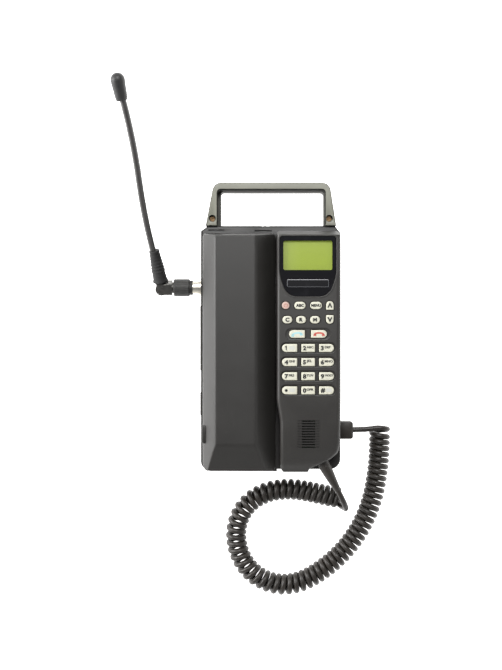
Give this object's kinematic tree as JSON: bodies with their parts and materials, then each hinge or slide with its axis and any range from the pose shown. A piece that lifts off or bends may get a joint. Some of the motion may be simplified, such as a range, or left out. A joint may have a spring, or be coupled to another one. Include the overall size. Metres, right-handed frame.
{
  "type": "transportable cellular phone",
  "caption": "Transportable phone lying on its back: casing with carry handle, battery hump, docked handset with display and keys, folding whip antenna and curly cord.",
  "frame": {"origin": "on the casing's rear face, halfway along it and 60.5 mm from its left side", "axes": "+X across the face to the right, +Y up the face towards the carry handle, +Z out of the face"},
  "size_m": [0.2405, 0.4484, 0.0997],
  "materials": {
    "dark_plastic": "fine satin, dark brown-grey",
    "handle_plastic": "satin, olive grey",
    "cord_plastic": "satin",
    "black_rubber": "matte",
    "mat_rubber": "matte",
    "key_cap": "satin, cream",
    "window": "glossy clear sheet with a black border",
    "gloss_black": "gloss, bare",
    "lcd_green": "yellow-green display",
    "board": "solder mask",
    "alloy": "rolled sheet",
    "tinplate": "tin plated",
    "cell_can": "plated can",
    "steel": "zinc plated",
    "brass": "plated",
    "black_metal": "black plated, worn"
  },
  "bodies": {
    "base": {"rear_casing": "dark_plastic", "front_casing": "dark_plastic", "chassis": "alloy", "transceiver_board": "board", "shield_can": "tinplate", "hook_switch": "dark_plastic", "case_screws": "steel", "rubber_feet": "black_rubber", "port_covers": "black_rubber", "carry_handle_front": "handle_plastic", "carry_handle_rear": "dark_plastic", "handle_screws": "brass", "battery_contacts": "brass", "antenna_socket": "brass", "cord_plug": "cord_plastic", "curly_cord": "cord_plastic"},
    "battery_pack": {"battery_cover": "dark_plastic", "battery_tray": "dark_plastic", "battery_cells": "cell_can"},
    "release_button": {"battery_release": "dark_plastic"},
    "handset": {"handset_front_shell": "dark_plastic", "handset_rear_shell": "dark_plastic", "handset_screws": "steel", "display_window": "window", "nameplate": "gloss_black", "lcd_panel": "lcd_green", "keypad_mat": "mat_rubber", "handset_board": "board", "earpiece_speaker": "tinplate", "microphone": "tinplate", "ringer_speaker": "tinplate", "handset_strain_relief": "cord_plastic"},
    "coupling_nut": {"antenna_nut": "black_metal"},
    "elbow": {"antenna_elbow": "black_metal", "antenna_pin": "steel"},
    "whip": {"antenna_rod": "black_rubber", "antenna_sleeve": "black_rubber", "antenna_cap": "black_rubber"},
    "button_power": {"key_power": "key_cap"},
    "button_abc": {"key_abc": "key_cap"},
    "button_menu": {"key_menu": "key_cap"},
    "button_up": {"key_up": "key_cap"},
    "button_clear": {"key_clear": "key_cap"},
    "button_recall": {"key_recall": "key_cap"},
    "button_memory": {"key_memory": "key_cap"},
    "button_down": {"key_down": "key_cap"},
    "button_call": {"key_call": "key_cap"},
    "button_end": {"key_end": "key_cap"},
    "button_1": {"key_1": "key_cap"},
    "button_2": {"key_2": "key_cap"},
    "button_3": {"key_3": "key_cap"},
    "button_4": {"key_4": "key_cap"},
    "button_5": {"key_5": "key_cap"},
    "button_6": {"key_6": "key_cap"},
    "button_7": {"key_7": "key_cap"},
    "button_8": {"key_8": "key_cap"},
    "button_9": {"key_9": "key_cap"},
    "button_star": {"key_star": "key_cap"},
    "button_0": {"key_0": "key_cap"},
    "button_hash": {"key_hash": "key_cap"}
  },
  "joints": [
    {"name": "handset_lift", "type": "slide", "parent": "base", "child": "handset", "axis": [0, 0, 1], "range_m": [0, 0.06]},
    {"name": "battery_lift", "type": "slide", "parent": "base", "child": "battery_pack", "axis": [0, 0, 1], "range_m": [0, 0.04]},
    {"name": "release_press", "type": "slide", "parent": "battery_pack", "child": "release_button", "axis": [1, 0, 0], "range_m": [0, 0.0015], "stiffness_N_per_m": 600},
    {"name": "nut_turn", "type": "hinge", "parent": "base", "child": "coupling_nut", "pos_m": [-0.077, 0.0545, 0.016], "axis": [1, 0, 0], "continuous": true},
    {"name": "antenna_swivel", "type": "hinge", "parent": "base", "child": "elbow", "pos_m": [-0.085, 0.0545, 0.016], "axis": [1, 0, 0], "range_deg": [-25, 150]},
    {"name": "antenna_fold", "type": "hinge", "parent": "elbow", "child": "whip", "pos_m": [-0.0965, 0.0545, 0.016], "axis": [0, -0.4274, 0.9041], "range_deg": [-8.8, 81.2]},
    {"name": "press_power", "type": "slide", "parent": "handset", "child": "button_power", "axis": [0, 0, -1], "range_m": [0, 0.0008], "stiffness_N_per_m": 400},
    {"name": "press_abc", "type": "slide", "parent": "handset", "child": "button_abc", "axis": [0, 0, -1], "range_m": [0, 0.0008], "stiffness_N_per_m": 400},
    {"name": "press_menu", "type": "slide", "parent": "handset", "child": "button_menu", "axis": [0, 0, -1], "range_m": [0, 0.0008], "stiffness_N_per_m": 400},
    {"name": "press_up", "type": "slide", "parent": "handset", "child": "button_up", "axis": [0, 0, -1], "range_m": [0, 0.0008], "stiffness_N_per_m": 400},
    {"name": "press_clear", "type": "slide", "parent": "handset", "child": "button_clear", "axis": [0, 0, -1], "range_m": [0, 0.0008], "stiffness_N_per_m": 400},
    {"name": "press_recall", "type": "slide", "parent": "handset", "child": "button_recall", "axis": [0, 0, -1], "range_m": [0, 0.0008], "stiffness_N_per_m": 400},
    {"name": "press_memory", "type": "slide", "parent": "handset", "child": "button_memory", "axis": [0, 0, -1], "range_m": [0, 0.0008], "stiffness_N_per_m": 400},
    {"name": "press_down", "type": "slide", "parent": "handset", "child": "button_down", "axis": [0, 0, -1], "range_m": [0, 0.0008], "stiffness_N_per_m": 400},
    {"name": "press_call", "type": "slide", "parent": "handset", "child": "button_call", "axis": [0, 0, -1], "range_m": [0, 0.0008], "stiffness_N_per_m": 400},
    {"name": "press_end", "type": "slide", "parent": "handset", "child": "button_end", "axis": [0, 0, -1], "range_m": [0, 0.0008], "stiffness_N_per_m": 400},
    {"name": "press_1", "type": "slide", "parent": "handset", "child": "button_1", "axis": [0, 0, -1], "range_m": [0, 0.0008], "stiffness_N_per_m": 400},
    {"name": "press_2", "type": "slide", "parent": "handset", "child": "button_2", "axis": [0, 0, -1], "range_m": [0, 0.0008], "stiffness_N_per_m": 400},
    {"name": "press_3", "type": "slide", "parent": "handset", "child": "button_3", "axis": [0, 0, -1], "range_m": [0, 0.0008], "stiffness_N_per_m": 400},
    {"name": "press_4", "type": "slide", "parent": "handset", "child": "button_4", "axis": [0, 0, -1], "range_m": [0, 0.0008], "stiffness_N_per_m": 400},
    {"name": "press_5", "type": "slide", "parent": "handset", "child": "button_5", "axis": [0, 0, -1], "range_m": [0, 0.0008], "stiffness_N_per_m": 400},
    {"name": "press_6", "type": "slide", "parent": "handset", "child": "button_6", "axis": [0, 0, -1], "range_m": [0, 0.0008], "stiffness_N_per_m": 400},
    {"name": "press_7", "type": "slide", "parent": "handset", "child": "button_7", "axis": [0, 0, -1], "range_m": [0, 0.0008], "stiffness_N_per_m": 400},
    {"name": "press_8", "type": "slide", "parent": "handset", "child": "button_8", "axis": [0, 0, -1], "range_m": [0, 0.0008], "stiffness_N_per_m": 400},
    {"name": "press_9", "type": "slide", "parent": "handset", "child": "button_9", "axis": [0, 0, -1], "range_m": [0, 0.0008], "stiffness_N_per_m": 400},
    {"name": "press_star", "type": "slide", "parent": "handset", "child": "button_star", "axis": [0, 0, -1], "range_m": [0, 0.0008], "stiffness_N_per_m": 400},
    {"name": "press_0", "type": "slide", "parent": "handset", "child": "button_0", "axis": [0, 0, -1], "range_m": [0, 0.0008], "stiffness_N_per_m": 400},
    {"name": "press_hash", "type": "slide", "parent": "handset", "child": "button_hash", "axis": [0, 0, -1], "range_m": [0, 0.0008], "stiffness_N_per_m": 400}
  ]
}
